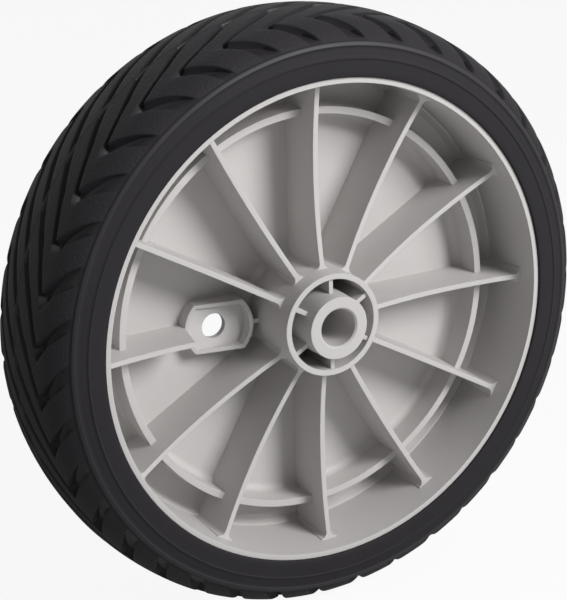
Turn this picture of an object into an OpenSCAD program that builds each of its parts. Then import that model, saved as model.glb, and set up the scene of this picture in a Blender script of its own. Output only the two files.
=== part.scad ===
// Push-along machine wheel: a moulded rim, web, ribs and hub with a chevron-tread tyre.
// Millimetres. The wheel spins about Y; the origin is its centre and the ribbed face looks to -Y.
// Depths are measured inwards from the plane of the rim's lip on either side.

/* [Rim] */
// Outside radius of the rim, on which the tyre sits
rim_r = 81.9; // [78:0.1:86]
// Width over the two lips
rim_w = 50.7; // [44:0.1:58]
// Wall of the rim at the lip
lip_t = 1.8; // [1.4:0.1:3]
// Draft of the rim's inner face, per side, from the lip to the parting line
rim_draft = 0.5; // [0.2:0.1:1]
// Ledge left by the two mould halves at the parting line
ledge = 0.5; // [0.2:0.1:1]
// Extra wall where the rim runs into the web
root_t = 1.5; // [0.5:0.1:2.5]
// Width of the ridge that keys the tyre
key_w = 10; // [6:0.5:16]
// Height of the ridge that keys the tyre
key_h = 2; // [1:0.1:3]

/* [Web] */
// Depth of the web's ribbed face
web_depth = 27.8; // [26.5:0.1:31]
// Thickness of the web
web_t = 2.4; // [1.8:0.1:4]
// Outside radius of the raised ring
ring_r = 69.5; // [62:0.5:74]
// Wall of the raised ring
ring_t = 2.4; // [1.5:0.1:4]
// Depth of the raised ring's edge
ring_depth = 17.1; // [14:0.1:20]
// Fillet along the foot of the ring and of the hub
foot_r = 2.6; // [1:0.1:4]

/* [Ribs] */
// Number of ribs, an even one so that every other rib meets a web in the hub
rib_count = 12; // [8:2:14]
// Thickness of a rib at its free edge
rib_t = 1.6; // [1.2:0.1:2.6]
// Draft angle of the rib's sides
rib_draft = 1.4; // [0.5:0.1:2]
// Depth of the free edge at the hub and at the rim
rib_depth = 7.7; // [5:0.1:9]
// How far the free edge dips between its two ends
rib_sag = 3; // [1:0.1:5]
// Fillet between a rib's end and the wall it meets
rib_fillet = 2.2; // [1:0.1:3.5]

/* [Hub] */
// Diameter of the axle bore
bore_d = 12.8; // [9.6:0.1:16]
// Chamfer at both ends of the bore
bore_chamfer = 0.6; // [0.2:0.1:1]
// Outside radius of the bearing boss
boss_r = 10.6; // [10:0.1:12]
// How far the boss stands out past the lips
boss_proud = 2.1; // [0:0.1:5]
// Outside radius of the hub shell
hub_r = 17.5; // [16:0.1:18]
// Wall of the hub shell
hub_t = 1.9; // [1.5:0.1:2.5]
// Depth of the hub shell's edge
hub_depth = 1.7; // [0:0.1:4]
// Thickness of the short webs between boss and shell
spoke_t = 1.5; // [1.2:0.1:2.5]
// How far the short webs sit below the shell's edge
spoke_drop = 0.9; // [0:0.1:3]

/* [Drive pocket] */
// Distance of the pocket's hole from the axle
pin_x = 33; // [31:0.1:35]
// Diameter of the pocket's hole
pin_d = 8.5; // [6:0.1:10]
// Width of the pocket
pocket_w = 17; // [15:0.1:20]
// Nearest point of the pocket to the axle
pocket_in = 20.5; // [20:0.1:22]
// Farthest point of the pocket from the axle
pocket_out = 43.4; // [42:0.1:48]
// Radius of the pocket's two rounded ends
pocket_end_r = 12.5; // [11:0.1:16]
// Height of the pocket's plate above the web
plate_h = 4.6; // [3:0.1:6]
// Thickness of the plate and of the pocket's sides
plate_t = 2.2; // [1.6:0.1:2.8]
// Wall around the plate
fence_t = 1.3; // [1:0.1:2]
// Height of that wall above the plate at its end next to the hub
fence_h = 4.6; // [2:0.1:6]

/* [Tyre] */
// Radius over the tread
tyre_r = 101.5; // [98:0.1:106]
// Overall width of the tyre
tyre_w = 52.6; // [52:0.1:60]
// Radius of the crown across the tread
crown_r = 80; // [60:1:140]
// Radius of the shoulders
shoulder_r = 13; // [11:0.1:15]
// Clearance between tyre and rim
tyre_fit = 0.05; // [0:0.01:0.2]
// Radius of the fine line on the sidewall
line_r = 87.7; // [86:0.1:89]
// Height of the fine line
line_h = 0.25; // [0.15:0.05:0.5]
// Inner radius of the raised band on the sidewall
band_r = 91.6; // [90:0.1:92.5]
// Width of the raised band
band_w = 1.5; // [1:0.1:2]
// Height of the raised band
band_h = 0.45; // [0.2:0.05:0.8]

/* [Tread] */
// Number of repeats of the tread around the tyre, two grooves each
repeats = 19; // [14:1:22]
// Angle of the first chevron's tip
first_tip = 146.6; // [0:0.1:360]
// Depth of the grooves
groove_depth = 3; // [1.5:0.1:4]
// Width of a groove along the tread, between its two tips
groove_w = 5.2; // [3:0.1:6.5]
// Width of the wide shoulder groove
wide_w = 6.6; // [5:0.1:8]
// Width of the narrow shoulder groove
narrow_w = 4.1; // [3:0.1:5]
// Distance of the chevron's tips from the middle of the tread
tip_y = 14.7; // [12:0.1:17]
// Sweep of a groove from its tip to the middle, in degrees
sweep = 16.2; // [10:0.1:20]
// How far a groove bows towards the shoulder between tip and middle
bow = 1.4; // [0:0.1:3]
// Lean of the shoulder grooves, along the tread for each millimetre across it
lean = 1.2; // [0.5:0.1:2]
// Bridge left across each groove at the middle of the tread
bridge = 1.5; // [0.5:0.1:4]
// Ring of plain rubber between band and blocks
band_gap = 0.5; // [0.2:0.1:1]

/* [Hidden] */
$fn = 96;
over = 1; // run-over of a cutting body past the face it opens
half_w = rim_w / 2;
bar_r = rim_r - lip_t;
mid_r = bar_r - rim_draft;
floor_z = half_w - web_depth;
back_z = floor_z - web_t;
root_r = mid_r - ledge - root_t;
face_z = half_w - rib_depth;
hub_z = half_w - hub_depth;
boss_z = half_w + boss_proud;
foot_draft = 0.8; // spread of the hub shell from its edge down to the web
rib_pitch = 360 / rib_count;
rib_chord = (mid_r - hub_r) / 2;
rib_mid = hub_r + rib_chord;
rib_arc = (rib_chord * rib_chord + rib_sag * rib_sag) / (2 * rib_sag);
plate_z = floor_z + plate_h;
slope = 3.5; // length over which the interrupted rib drops to the pocket

shoulder_z = tyre_w / 2 - shoulder_r;
crown_x = tyre_r - crown_r;
shoulder_x = crown_x + sqrt(pow(crown_r - shoulder_r, 2) - pow(shoulder_z, 2));
block_r = band_r + band_w + band_gap;
block_z = shoulder_z + sqrt(pow(shoulder_r, 2) - pow(block_r - shoulder_x, 2));
run_in = asin((block_r - shoulder_x) / shoulder_r)
    + acos((shoulder_r - groove_depth) / shoulder_r);
run_x = shoulder_x + (shoulder_r - groove_depth) * sin(run_in);
run_z = shoulder_z + (shoulder_r - groove_depth) * cos(run_in);
tip_step = 180 / repeats;

// Turns a body drawn about Z so that it spins about Y, with its upper end at the ribbed face.
module on_axle() {
    rotate([90, 0, 0]) children();
}

// Fillet between a wall at x and a floor at y, on the side that sx and sy point to.
module foot(x, y, r, sx, sy) {
    translate([x, y]) difference() {
        translate([sx < 0 ? -r : 0, sy < 0 ? -r : 0]) square(r);
        translate([sx * r, sy * r]) circle(r);
    }
}

module key_section(grow) {
    polygon([
        [rim_r - over, -key_w / 2 - grow], [rim_r + grow, -key_w / 2 - grow],
        [rim_r + key_h + grow, -key_w / 2 + key_h / 2 - grow],
        [rim_r + key_h + grow, key_w / 2 - key_h / 2 + grow],
        [rim_r + grow, key_w / 2 + grow], [rim_r - over, key_w / 2 + grow]
    ]);
}

module rim_section() {
    polygon([
        [rim_r, half_w], [bar_r, half_w], [mid_r, 0], [mid_r - ledge, 0],
        [root_r, floor_z], [root_r, back_z], [bar_r, -half_w], [rim_r, -half_w]
    ]);
    key_section(0);
}

module hub_section() {
    for (s = [1, -1]) {
        root = s > 0 ? floor_z : back_z;
        polygon([
            [hub_r - hub_t, s * hub_z], [hub_r, s * hub_z],
            [hub_r + foot_draft, root], [hub_r - hub_t - foot_draft, root]
        ]);
        polygon([
            [bore_d / 2, root], [bore_d / 2, s * (boss_z - bore_chamfer)],
            [bore_d / 2 + bore_chamfer, s * boss_z], [boss_r, s * boss_z],
            [boss_r + foot_draft, root]
        ]);
        foot(hub_r + foot_draft, root, foot_r, 1, s);
    }
}

module body_section() {
    rim_section();
    translate([bore_d / 2, back_z]) square([mid_r - bore_d / 2, web_t]);
    translate([ring_r - ring_t, back_z]) square([ring_t, half_w - ring_depth - back_z]);
    foot(ring_r - ring_t, floor_z, foot_r, -1, 1);
    foot(ring_r, floor_z, foot_r / 2, 1, 1);
    hub_section();
}

// Outline of a rib seen along the axle, flared where it runs into hub and rim.
module rib_plan() {
    y = rib_t / 2 + rib_fillet;
    difference() {
        union() {
            translate([hub_r - over, -y]) square([over + rib_fillet, 2 * y]);
            translate([mid_r - rib_fillet, -y]) square([rib_fillet + over, 2 * y]);
        }
        for (x = [hub_r + rib_fillet, mid_r - rib_fillet], s = [1, -1])
            translate([x, s * y]) circle(rib_fillet);
    }
}

// One rib from hub to rim, standing on the web at height root.
module rib(root) {
    rise = face_z - root;
    t = rib_t + 2 * rise * tan(rib_draft);
    difference() {
        union() {
            translate([hub_r - over, 0, 0]) rotate([90, 0, 90])
                linear_extrude(mid_r - hub_r + 2 * over) polygon([
                    [-t / 2, root - over], [t / 2, root - over],
                    [rib_t / 2, face_z + over], [-rib_t / 2, face_z + over]
                ]);
            translate([0, 0, root - over]) linear_extrude(rise + 2 * over) rib_plan();
        }
        translate([rib_mid, 0, face_z - rib_sag + rib_arc]) rotate([90, 0, 0])
            cylinder(h = 8 * rib_fillet, r = rib_arc, center = true, $fn = 360);
    }
}

// Room kept clear of the rib that the pocket interrupts.
module pocket_room(root) {
    rotate([90, 0, 0]) linear_extrude(8 * rib_fillet, center = true) polygon([
        [pocket_in - rib_fillet, root - 2 * over], [pocket_out - over, root - 2 * over],
        [pocket_out, root + plate_h], [pocket_out + slope, face_z + 2 * over],
        [0, face_z + 2 * over], [0, root - 2 * over]
    ]);
}

module pocket_plan(inset) {
    intersection() {
        translate([pocket_in + inset, inset - pocket_w / 2])
            square([pocket_out - pocket_in - 2 * inset, pocket_w - 2 * inset]);
        translate([pocket_out - pocket_end_r, 0]) circle(pocket_end_r - inset);
        translate([pocket_in + pocket_end_r, 0]) circle(pocket_end_r - inset);
    }
}

// Raised plate with its sloping fence, tied to the hub by a small web.
module pocket() {
    translate([0, 0, back_z]) linear_extrude(web_t + plate_h) pocket_plan(0);
    difference() {
        translate([0, 0, plate_z - over]) linear_extrude(fence_h + over) difference() {
            pocket_plan(0);
            pocket_plan(fence_t);
        }
        rotate([90, 0, 0]) linear_extrude(2 * pocket_w, center = true) polygon([
            [pocket_out, plate_z], [pocket_in, plate_z + fence_h],
            [pocket_in, plate_z + fence_h + over], [pocket_out + over, plate_z + fence_h + over],
            [pocket_out + over, plate_z]
        ]);
    }
    translate([hub_r - over / 2, -spoke_t / 2, back_z])
        cube([pocket_in + fence_t / 2 - hub_r + over / 2, spoke_t, plate_z + fence_h - over - back_z]);
}

module body_ribs() {
    for (i = [0 : rib_count - 1]) rotate([0, 0, 180 + i * rib_pitch]) difference() {
        union() {
            rib(floor_z);
            mirror([0, 0, 1]) rib(-back_z);
        }
        if (i == 0) {
            pocket_room(floor_z);
            mirror([0, 0, 1]) pocket_room(-back_z);
        }
    }
}

// Short webs that carry the boss inside the hub shell, one for every other rib.
module hub_spokes() {
    for (i = [0 : rib_count / 2 - 1]) rotate([0, 0, 90 + 2 * i * rib_pitch])
        translate([boss_r - over, -spoke_t / 2, -hub_z + spoke_drop])
            cube([hub_r - hub_t - boss_r + 2 * over, spoke_t, 2 * (hub_z - spoke_drop)]);
}

module wheel_body() {
    color([0.76, 0.75, 0.74]) on_axle() difference() {
        union() {
            rotate_extrude() body_section();
            body_ribs();
            hub_spokes();
            rotate([0, 0, 180]) pocket();
        }
        rotate([0, 0, 180]) {
            translate([0, 0, back_z - over])
                linear_extrude(web_t + plate_h - plate_t + over) pocket_plan(plate_t);
            translate([pin_x, 0, back_z]) cylinder(h = web_t + plate_h + over, r = pin_d / 2);
        }
        cylinder(h = 3 * boss_z, r = bore_d / 2, center = true);
    }
}

// Outline of the tyre's cross-section, drawn in by the given amount across the tread.
module tread_outline(inset) {
    for (s = [1, -1]) translate([shoulder_x, s * shoulder_z]) circle(shoulder_r - inset);
    intersection() {
        translate([crown_x, 0]) circle(crown_r - inset, $fn = 360);
        polygon([
            [crown_x, 0], [2 * shoulder_x - crown_x, 2 * shoulder_z],
            [2 * shoulder_x - crown_x, -2 * shoulder_z]
        ]);
    }
}

module tyre_section() {
    difference() {
        union() {
            translate([rim_r, -tyre_w / 2]) square([shoulder_x - rim_r, tyre_w]);
            tread_outline(0);
            intersection() {
                tread_outline(-band_h);
                for (s = [1, -1]) translate([band_r, s * tyre_w / 2 - shoulder_r / 2])
                    square([band_w, shoulder_r]);
            }
            translate([line_r, -tyre_w / 2 - line_h]) square([2 * line_h, tyre_w + 2 * line_h]);
        }
        translate([0, -tyre_w]) square([rim_r + tyre_fit, 2 * tyre_w]);
        key_section(tyre_fit);
    }
}

// Everything outside the groove floors, as a ring around the tyre.
module groove_zone() {
    rotate_extrude() difference() {
        translate([block_r, -tyre_w]) square([tyre_r - block_r + over, 2 * tyre_w]);
        tread_outline(groove_depth);
        polygon([
            [shoulder_x, -run_z], [block_r, -block_z], [run_x, -run_z],
            [run_x, run_z], [block_r, block_z], [shoulder_x, run_z]
        ]);
    }
}

// Half of a groove, from the middle of the tread round its tip and out over the shoulder.
module groove(end_w) {
    half = tyre_r * tan(sweep / 2);
    reach = tyre_w / 2 + over;
    out = half - lean * (reach - tip_y);
    mid = half - 2 * half * (tip_y - bridge / 2) / tip_y;
    translate([block_r - shoulder_r, 0, 0]) rotate([90, 0, 90])
        linear_extrude(tyre_r - block_r + shoulder_r + over) polygon([
            [out - end_w / 2, reach], [half - groove_w / 2, tip_y],
            [-groove_w / 2, tip_y / 2 + bow], [mid - groove_w / 2, bridge / 2],
            [mid + groove_w / 2, bridge / 2], [groove_w / 2, tip_y / 2 + bow],
            [half + groove_w / 2, tip_y], [out + end_w / 2, reach]
        ]);
}

module tyre() {
    color([0.2, 0.19, 0.2]) on_axle() difference() {
        rotate_extrude() tyre_section();
        intersection() {
            groove_zone();
            for (k = [0 : 2 * repeats - 1]) rotate([0, 0, first_tip + k * tip_step]) {
                rotate([0, 0, -sweep / 2]) groove(k % 2 == 0 ? wide_w : narrow_w);
                rotate([180, 0, 3 * -sweep / 2]) groove(k % 2 == 0 ? narrow_w : wide_w);
            }
        }
    }
}

wheel_body();
tyre();
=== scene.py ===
from math import acos, asin, atan2, cos, pi, radians, sin, sqrt, tan

import bmesh
import bpy
from mathutils import Matrix, Vector


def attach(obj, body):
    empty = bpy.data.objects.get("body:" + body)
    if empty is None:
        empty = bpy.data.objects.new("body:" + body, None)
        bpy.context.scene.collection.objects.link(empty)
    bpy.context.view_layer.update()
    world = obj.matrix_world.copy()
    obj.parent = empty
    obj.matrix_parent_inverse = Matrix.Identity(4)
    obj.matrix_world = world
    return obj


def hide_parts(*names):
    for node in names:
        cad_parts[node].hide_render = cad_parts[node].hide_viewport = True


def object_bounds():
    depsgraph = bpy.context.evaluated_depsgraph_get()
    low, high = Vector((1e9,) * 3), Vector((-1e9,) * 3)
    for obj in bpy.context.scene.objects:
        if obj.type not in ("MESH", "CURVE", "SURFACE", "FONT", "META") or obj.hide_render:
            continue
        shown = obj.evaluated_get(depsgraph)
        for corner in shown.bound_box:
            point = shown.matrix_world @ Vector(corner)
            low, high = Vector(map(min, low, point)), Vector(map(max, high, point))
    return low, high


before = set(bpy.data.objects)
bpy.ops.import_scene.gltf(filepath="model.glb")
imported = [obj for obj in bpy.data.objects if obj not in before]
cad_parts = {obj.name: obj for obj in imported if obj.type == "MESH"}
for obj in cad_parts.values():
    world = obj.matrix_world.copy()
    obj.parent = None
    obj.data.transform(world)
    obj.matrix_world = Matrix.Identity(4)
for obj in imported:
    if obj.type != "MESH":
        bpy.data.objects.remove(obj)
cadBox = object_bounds()
mm = 0.001
print("stage: frame loaded,", len(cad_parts), "nodes")


# Camera at the photograph's own angle

cameraView = {
    "place": (-0.27997, -0.49852, 0.20079),  # metres, in the wheel's frame
    "right": (0.870208, -0.491737, -0.030540),  # direction of the picture's right edge
    "up": (0.186767, 0.271883, 0.944033),  # direction of the picture's top edge
    "lens": 107.62,  # millimetres
    "sensor": 36.0,  # along the picture's long side
}


def addCamera(view):
    right, up = Vector(view["right"]), Vector(view["up"])
    turned = Matrix((right, up, right.cross(up))).transposed().to_4x4()
    data = bpy.data.cameras.new("photoCamera")
    data.lens = view["lens"]
    data.sensor_width = view["sensor"]
    camera = bpy.data.objects.new("photoCamera", data)
    camera.matrix_world = Matrix.Translation(view["place"]) @ turned
    bpy.context.scene.collection.objects.link(camera)
    bpy.context.scene.camera = camera


addCamera(cameraView)
print("stage: camera")


# Small helpers for node trees

def addNode(tree, kind, values=None, **settings):
    node = tree.nodes.new(kind)
    for name, value in settings.items():
        setattr(node, name, value)
    for socket, value in (values or {}).items():
        if isinstance(value, bpy.types.NodeSocket):
            tree.links.new(value, node.inputs[socket])
        else:
            node.inputs[socket].default_value = value
    return node


def newMaterial(name):
    material = bpy.data.materials.new(name)
    material.use_nodes = True
    return material, material.node_tree, material.node_tree.nodes["Principled BSDF"]


def math(tree, operation, first, second=0.0):
    return addNode(tree, "ShaderNodeMath", {0: first, 1: second}, operation=operation).outputs[0]


def noise(tree, place, scale, detail=2.0, rough=0.5):
    values = {"Vector": place, "Scale": scale, "Detail": detail, "Roughness": rough}
    return addNode(tree, "ShaderNodeTexNoise", values).outputs["Fac"]


def blendColours(tree, share, first, second):
    node = addNode(tree, "ShaderNodeMix", data_type="RGBA")
    for index, value in ((0, share), (6, first), (7, second)):
        if isinstance(value, bpy.types.NodeSocket):
            tree.links.new(value, node.inputs[index])
        else:
            node.inputs[index].default_value = value
    return node.outputs[2]


def spread(tree, value, low, high):
    values = {"Value": value, "To Min": low, "To Max": high}
    return addNode(tree, "ShaderNodeMapRange", values).outputs[0]


def grey(red, green, blue):
    return (red, green, blue, 1.0)


# Moulded plastic of the wheel body

plasticLook = {
    "light": grey(0.56, 0.542, 0.535),
    "shade": grey(0.49, 0.472, 0.463),
    "edgeHighlight": grey(0.66, 0.645, 0.635),  # painted highlight on the moulding's edges
    "edge": 0.35 * mm,  # radius that the edges read as
    "grain": 2100.0,  # grains per metre of the mould's texture
    "grainHeight": 0.05 * mm,
    "waves": 45.0,  # sink and flow marks per metre
    "wavesHeight": 0.12 * mm,
    "roughness": (0.42, 0.62),
}


def makePlastic(look):
    material, tree, shader = newMaterial("greyPlastic")
    place = addNode(tree, "ShaderNodeTexCoord").outputs["Object"]
    wide = noise(tree, place, look["waves"] / 2, 3.0)
    waves = noise(tree, place, look["waves"], 2.0)
    grain = noise(tree, place, look["grain"], 3.0, 0.6)
    scuffsAndHighlight = noise(tree, place, look["grain"] / 9, 5.0, 0.7)
    rounded = addNode(tree, "ShaderNodeBevel", {"Radius": look["edge"]}, samples=4)
    normal = addNode(tree, "ShaderNodeNewGeometry").outputs["Normal"]
    facing = addNode(tree, "ShaderNodeVectorMath", {0: rounded.outputs[0], 1: normal},
                     operation="DOT_PRODUCT").outputs["Value"]
    onEdge = spread(tree, facing, 1.0, 0.0)
    # Painted highlight: the edges are lightened in colour, broken up by the scuff noise that also varies
    # the roughness
    paintedEdgeHighlight = math(tree, "MULTIPLY", onEdge, scuffsAndHighlight)
    mottled = blendColours(tree, math(tree, "MULTIPLY", wide, grain), look["light"], look["shade"])
    colour = blendColours(tree, paintedEdgeHighlight, mottled, look["edgeHighlight"])
    low = addNode(tree, "ShaderNodeBump", {
        "Strength": 0.5, "Distance": look["wavesHeight"], "Height": waves,
        "Normal": rounded.outputs[0],
    })
    fine = addNode(tree, "ShaderNodeBump", {
        "Strength": 0.45, "Distance": look["grainHeight"], "Height": grain,
        "Normal": low.outputs[0],
    })
    tree.links.new(colour, shader.inputs["Base Color"])
    tree.links.new(spread(tree, scuffsAndHighlight, *look["roughness"]), shader.inputs["Roughness"])
    tree.links.new(fine.outputs[0], shader.inputs["Normal"])
    shader.inputs["IOR"].default_value = 1.46
    shader.inputs["Specular IOR Level"].default_value = 0.3
    return material


wheelBody = bpy.data.objects["wheel_body"]
plastic = makePlastic(plasticLook)
for materialSlot in wheelBody.material_slots:
    materialSlot.material = plastic
print("stage: plastic on the wheel body")


# Rubber of the tyre

rubberLook = {
    "block": grey(0.012, 0.0105, 0.0125),
    "groove": grey(0.020, 0.018, 0.021),  # the smooth mould surface is a little lighter
    "dust": grey(0.034, 0.031, 0.034),
    "stipple": 950.0,  # pips per metre on the blocks
    "stippleHeight": 0.16 * mm,
    "grain": 2600.0,
    "grainHeight": 0.03 * mm,
    "blockRoughness": 0.74,
    "grooveRoughness": 0.5,
}


def makeRubber(look):
    material, tree, shader = newMaterial("blackRubber")
    place = addNode(tree, "ShaderNodeTexCoord").outputs["Object"]
    onBlock = addNode(tree, "ShaderNodeAttribute", attribute_name="blockTop").outputs["Fac"]
    smooth = addNode(tree, "ShaderNodeAttribute", attribute_name="smoothMould").outputs["Fac"]
    pips = addNode(tree, "ShaderNodeTexVoronoi", {
        "Vector": place, "Scale": look["stipple"], "Randomness": 0.85,
    }).outputs["Distance"]
    grain = noise(tree, place, look["grain"], 3.0, 0.6)
    patches = noise(tree, place, 55.0, 4.0, 0.6)
    base = blendColours(tree, smooth, look["block"], look["groove"])
    dusty = math(tree, "MULTIPLY", math(tree, "POWER", patches, 3.0), grain)
    colour = blendColours(tree, dusty, base, look["dust"])
    rough = spread(tree, smooth, look["blockRoughness"], look["grooveRoughness"])
    rough = math(tree, "ADD", rough, spread(tree, patches, -0.07, 0.07))
    stipple = addNode(tree, "ShaderNodeBump", {
        "Strength": 0.8, "Distance": look["stippleHeight"],
        "Height": math(tree, "MULTIPLY", pips, onBlock),
    })
    fine = addNode(tree, "ShaderNodeBump", {
        "Strength": 0.5, "Distance": look["grainHeight"], "Height": grain,
        "Normal": stipple.outputs[0],
    })
    tree.links.new(colour, shader.inputs["Base Color"])
    tree.links.new(rough, shader.inputs["Roughness"])
    tree.links.new(fine.outputs[0], shader.inputs["Normal"])
    shader.inputs["Specular IOR Level"].default_value = 0.25
    return material


# The tyre, as rows across the section and columns that follow every groove of the tread.
# Lengths in millimetres. Radius from the axle, axial from the middle of the tread.

tyreSizes = {
    "radius": 101.5,
    "width": 52.6,
    "crownRadius": 80.0,
    "shoulderRadius": 13.0,
    "seat": 81.95,  # inner radius, on the rim
    "keyRadius": 83.95,  # groove inside that takes the rim's ridge
    "keyHalf": 5.05,
    "line": 87.7,  # fine ring on the sidewall
    "lineHeight": 0.25,
    "band": 91.6,  # broad ring below the blocks
    "bandWidth": 1.5,
    "bandHeight": 0.45,
    "bandGap": 0.5,
    "grooves": 38,
    "firstTip": 146.6,  # degrees
    "depth": 3.0,
    "groove": 5.2,  # width along the tread
    "wideEnd": 6.6,
    "narrowEnd": 4.1,
    "tip": 14.7,
    "sweep": 16.2,  # degrees
    "bow": 1.4,
    "lean": 1.2,
    "bridge": 1.5,
    "flash": 0.1,  # parting line round the middle
    "edgeRound": 0.3,
    "wallDraft": 0.22,
    "footRound": 0.35,
    "blockColumns": 5,
}


def between(start, end, count):
    return [start + (end - start) * i / (count + 1) for i in range(1, count + 1)]


# Rows of one half of the section, from the seat on the rim to the middle of the tread
def halfSection(t):
    half = t["width"] / 2
    shoulderAxial = half - t["shoulderRadius"]
    crownCentre = t["radius"] - t["crownRadius"]
    reach = t["crownRadius"] - t["shoulderRadius"]
    shoulderCentre = crownCentre + sqrt(reach ** 2 - shoulderAxial ** 2)
    crownStart = atan2(shoulderCentre - crownCentre, shoulderAxial)
    floorRadius = t["shoulderRadius"] - t["depth"]
    rows = []

    def straight(radius, axial):
        rows.append({"radius": radius, "axial": axial, "angle": 0.0, "raised": 0.0, "depth": 0.0})

    def turned(angle, raised=0.0, depth=0.0):
        onCrown = angle >= crownStart
        centre, offset, size = (
            (crownCentre, 0.0, t["crownRadius"]) if onCrown
            else (shoulderCentre, shoulderAxial, t["shoulderRadius"])
        )
        rows.append({
            "radius": centre + size * sin(angle), "axial": offset + size * cos(angle),
            "angle": angle, "raised": raised, "depth": depth,
        })

    def atRadius(radius):
        return asin((radius - shoulderCentre) / t["shoulderRadius"])

    def ring(inner, outer, height, soft):
        rise = ((-1, 0.0), (0, 0.35), (1, 0.9), (2, 1.0))
        for step, share in rise:
            turned(atRadius(inner + step * soft), height * share)
        turned(atRadius((inner + outer) / 2), height)
        for step, share in reversed(rise):
            turned(atRadius(outer - step * soft), height * share)

    for radius, axial in ((0.0, -0.5), (0.1, -0.12), (0.4, 0.0), (2.2, 0.0), (3.8, 0.0)):
        straight(t["seat"] + radius, half + axial)
    turned(0.0)
    ring(t["line"], t["line"] + 2 * t["lineHeight"], t["lineHeight"], 0.09)
    for radius in between(t["line"] + 2 * t["lineHeight"], t["band"], 2):
        turned(atRadius(radius))
    ring(t["band"], t["band"] + t["bandWidth"], t["bandHeight"], 0.14)
    blockStart = atRadius(t["band"] + t["bandWidth"] + t["bandGap"])
    full = blockStart + acos(floorRadius / t["shoulderRadius"])
    turned(blockStart)
    for angle in between(blockStart, full, 10) + [full]:
        turned(angle, 0.0, t["shoulderRadius"] - floorRadius / cos(full - angle))
    for angle in between(full, crownStart, 2):
        turned(angle, 0.0, t["depth"])
    knee, bridge = t["tip"] / 2 + t["bow"], t["bridge"] / 2
    axials = [t["crownRadius"] * cos(crownStart)]
    axials += [t["tip"] + 0.6, t["tip"] + 0.2, t["tip"], t["tip"] - 0.25]
    axials += between(t["tip"] - 0.25, knee + 0.45, 4) + [knee + 0.45, knee, knee - 0.45]
    axials += between(knee - 0.45, bridge + 0.4, 7) + [bridge + 0.4]
    for axial in axials:
        turned(acos(axial / t["crownRadius"]), 0.0, t["depth"])
    for axial, share in ((0.2, 0.92), (-0.05, 0.1), (-0.2, 0.02), (-0.35, 0.0)):
        turned(acos((bridge + axial) / t["crownRadius"]), 0.0, t["depth"] * share)
    turned(acos(0.15 / t["crownRadius"]))
    for row in rows:
        row["tread"] = row["angle"] > blockStart + 1e-6
        path = row if row["tread"] else next(r for r in rows if r["angle"] == blockStart)
        row["pathAxial"], row["pathRadius"] = path["axial"], path["radius"]
    return rows


# Where a groove's middle line lies along the tread, at a distance from the middle
def grooveLine(t, axial):
    half = t["radius"] * tan(radians(t["sweep"] / 2))
    knee, bridge = t["tip"] / 2 + t["bow"], t["bridge"] / 2
    if axial > t["tip"]:
        return half - t["lean"] * (axial - t["tip"])
    if axial > knee:
        return half * (axial - knee) / (t["tip"] - knee)
    middle = half - 2 * half * (t["tip"] - bridge) / t["tip"]
    return middle * (knee - axial) / (knee - bridge)


# Columns over one groove: distance from its middle line, and depth there
def acrossGroove(t, axial, depth, endWidth):
    past = max(0.0, axial - t["tip"]) / (t["width"] / 2 + 1 - t["tip"])
    half = (t["groove"] + (endWidth - t["groove"]) * past) / 2
    slant = (grooveLine(t, axial + 0.6) - grooveLine(t, axial - 0.6)) / 1.2
    stretch = sqrt(1 + slant ** 2)  # the walls are measured square to the groove
    edge, draft, foot = (t[name] * stretch for name in ("edgeRound", "wallDraft", "footRound"))
    wall = [
        (half + edge, 0.0), (half + 0.35 * edge, 0.024 * depth), (half, 0.1 * depth),
        (half - draft, 0.9 * depth), (max(half - draft - foot, 0.2 * half), depth),
    ]
    return [(-x, d) for x, d in wall] + [(0.0, depth)] + wall[::-1]


# Angle round the wheel of a point beside a groove's middle line
def angleAt(t, side, base, line, aside, radius):
    sweep = radians(t["sweep"])
    if side > 0:
        return base - sweep / 2 + asin((line + aside) / radius)
    if side < 0:
        return base - 1.5 * sweep - asin((line - aside) / radius)
    return base - sweep + asin(aside / radius)


def ringOfPoints(t, row, side):
    points = []
    pitch = 2 * pi / t["grooves"]
    line = grooveLine(t, row["pathAxial"])
    out, along = sin(row["angle"]), cos(row["angle"])
    direction = -1 if side < 0 else 1
    grooves = []
    for k in range(t["grooves"] + 1):
        wide = (k % 2 == 0) == (side >= 0)
        endWidth = t["wideEnd"] if wide else t["narrowEnd"]
        base = radians(t["firstTip"]) + k * pitch
        columns = []
        for aside, depth in acrossGroove(t, row["pathAxial"], row["depth"], endWidth):
            radius = row["pathRadius"] - (depth * out if row["tread"] else 0.0)
            columns.append((angleAt(t, side, base, line, aside, radius), depth))
        grooves.append(columns)
    for k in range(t["grooves"]):
        start, end = grooves[k][-1][0], grooves[k + 1][0][0]
        tops = [(angle, 0.0) for angle in between(start, end, t["blockColumns"])]
        for angle, depth in grooves[k] + tops:
            rise = row["raised"] - depth
            radius = row["radius"] + rise * out
            axial = direction * (row["axial"] + rise * along)
            place = (radius * cos(angle) * mm, -axial * mm, radius * sin(angle) * mm)
            onFloor = row["depth"] > 0 and depth > 0.85 * row["depth"]
            onBand = row["raised"] > 0.8 * t["bandHeight"]
            top = 1.0 if row["tread"] and depth == 0 else 0.0
            points.append((place, top, 1.0 if onFloor or onBand else 0.0))
    return points


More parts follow.
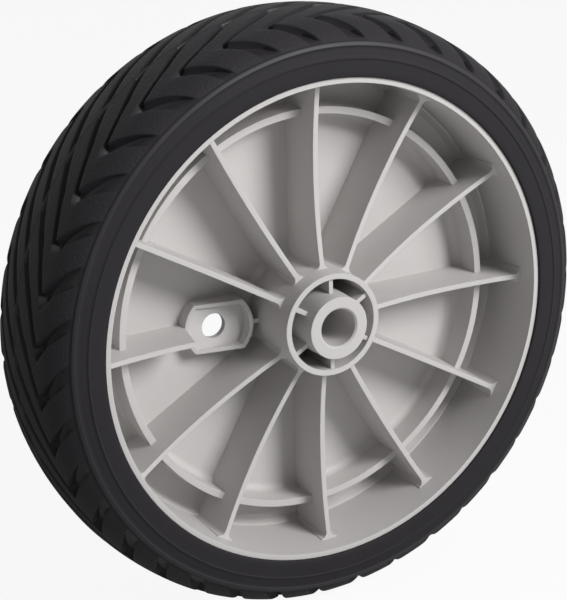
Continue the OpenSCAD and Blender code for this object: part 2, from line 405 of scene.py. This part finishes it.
def makeTyre(t, rubber):
    side = halfSection(t)
    middle = dict(side[-1], axial=0.0, pathAxial=0.0, angle=pi / 2,
                  radius=t["radius"], pathRadius=t["radius"], raised=t["flash"])
    rings = [ringOfPoints(t, row, 1) for row in side]
    rings.append(ringOfPoints(t, middle, 0))
    rings += [ringOfPoints(t, row, -1) for row in reversed(side)]
    lastOuter = len(rings) - 1
    bore = [(t["seat"], 24.0), (t["seat"], 15.0), (t["seat"], t["keyHalf"]), (t["keyRadius"], t["keyHalf"])]
    inner = [(radius, -axial) for radius, axial in bore] + bore[::-1]
    for radius, axial in inner:
        rings.append(ringOfPoints(t, dict(side[0], radius=radius, axial=axial), 1))
    count = len(rings[0])
    columns = count // t["grooves"]
    faces = []
    for i in range(len(rings)):
        following = (i + 1) % len(rings)
        shift = 2 * columns if i == lastOuter else 0  # the chevrons lag by two grooves at the rear
        for c in range(count):
            here, beside = (c + shift) % count, (c + shift + 1) % count
            faces.append((
                i * count + here, i * count + beside,
                following * count + (c + 1) % count, following * count + c,
            ))
    points = [point for ringPoints in rings for point in ringPoints]
    mesh = bpy.data.meshes.new("rubberTyre")
    mesh.from_pydata([place for place, top, smooth in points], [], faces)
    for index, name in ((1, "blockTop"), (2, "smoothMould")):
        mesh.attributes.new(name, "FLOAT", "POINT").data.foreach_set("value", [p[index] for p in points])
    work = bmesh.new()
    work.from_mesh(mesh)
    bmesh.ops.recalc_face_normals(work, faces=work.faces)
    work.to_mesh(mesh)
    work.free()
    mesh.shade_smooth()
    mesh.set_sharp_from_angle(angle=radians(55))
    mesh.materials.append(rubber)
    tyre = bpy.data.objects.new("rubberTyre", mesh)
    bpy.context.scene.collection.objects.link(tyre)
    return tyre


rubberTyre = makeTyre(tyreSizes, makeRubber(rubberLook))
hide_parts("tyre")
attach(rubberTyre, "root")
print("stage: tyre,", len(rubberTyre.data.polygons), "faces")


# Floor, lamps and white surroundings

studio = {
    "floorSize": 6.0,
    "floorColour": grey(0.8, 0.8, 0.8),
    "floorWhite": 0.92,  # share of plain white that the camera sees
    "ambient": 0.14,
    "ambientTint": grey(0.97, 0.98, 1.0),
    "keyFrom": (0.403, -0.746, 0.531),
    "keyDistance": 0.95,
    "keySize": 0.42,
    "keyPower": 9.0,
}


def addFloor(s):
    low = cadBox[0][2]
    half = s["floorSize"] / 2
    mesh = bpy.data.meshes.new("studioFloor")
    corners = [(-half, -half, low), (half, -half, low), (half, half, low), (-half, half, low)]
    mesh.from_pydata(corners, [], [(0, 1, 2, 3)])
    material, tree, shader = newMaterial("studioFloor")
    tree.nodes.remove(shader)
    seen = addNode(tree, "ShaderNodeLightPath").outputs["Is Camera Ray"]
    matt = addNode(tree, "ShaderNodeBsdfDiffuse", {"Color": s["floorColour"]})
    white = addNode(tree, "ShaderNodeEmission", {"Strength": 1.0})
    mixed = addNode(tree, "ShaderNodeMixShader", {
        0: math(tree, "MULTIPLY", seen, s["floorWhite"]), 1: matt.outputs[0], 2: white.outputs[0],
    })
    tree.links.new(mixed.outputs[0], tree.nodes["Material Output"].inputs["Surface"])
    mesh.materials.append(material)
    floor = bpy.data.objects.new("studioFloor", mesh)
    bpy.context.scene.collection.objects.link(floor)


def addWorld(s):
    world = bpy.data.worlds.new("studioWorld")
    world.use_nodes = True
    tree = world.node_tree
    tree.nodes.clear()
    ray = addNode(tree, "ShaderNodeLightPath").outputs
    seen = math(tree, "MAXIMUM", ray["Is Camera Ray"],
                math(tree, "MAXIMUM", ray["Is Glossy Ray"], ray["Is Transmission Ray"]))
    soft = addNode(tree, "ShaderNodeBackground", {"Color": s["ambientTint"], "Strength": s["ambient"]})
    white = addNode(tree, "ShaderNodeBackground", {"Color": grey(1, 1, 1), "Strength": 1.0})
    mixed = addNode(tree, "ShaderNodeMixShader", {0: seen, 1: soft.outputs[0], 2: white.outputs[0]})
    output = addNode(tree, "ShaderNodeOutputWorld")
    tree.links.new(mixed.outputs[0], output.inputs["Surface"])
    bpy.context.scene.world = world


def addKeyLight(s):
    data = bpy.data.lights.new("keyLight", "AREA")
    data.shape = "DISK"
    data.size = s["keySize"]
    data.energy = s["keyPower"]
    lamp = bpy.data.objects.new("keyLight", data)
    away = Vector(s["keyFrom"]).normalized()
    lamp.location = away * s["keyDistance"]
    lamp.rotation_euler = away.to_track_quat("Z", "Y").to_euler()
    bpy.context.scene.collection.objects.link(lamp)


addFloor(studio)
addWorld(studio)
addKeyLight(studio)
bpy.context.scene.view_settings.view_transform = "Standard"
print("stage: studio")
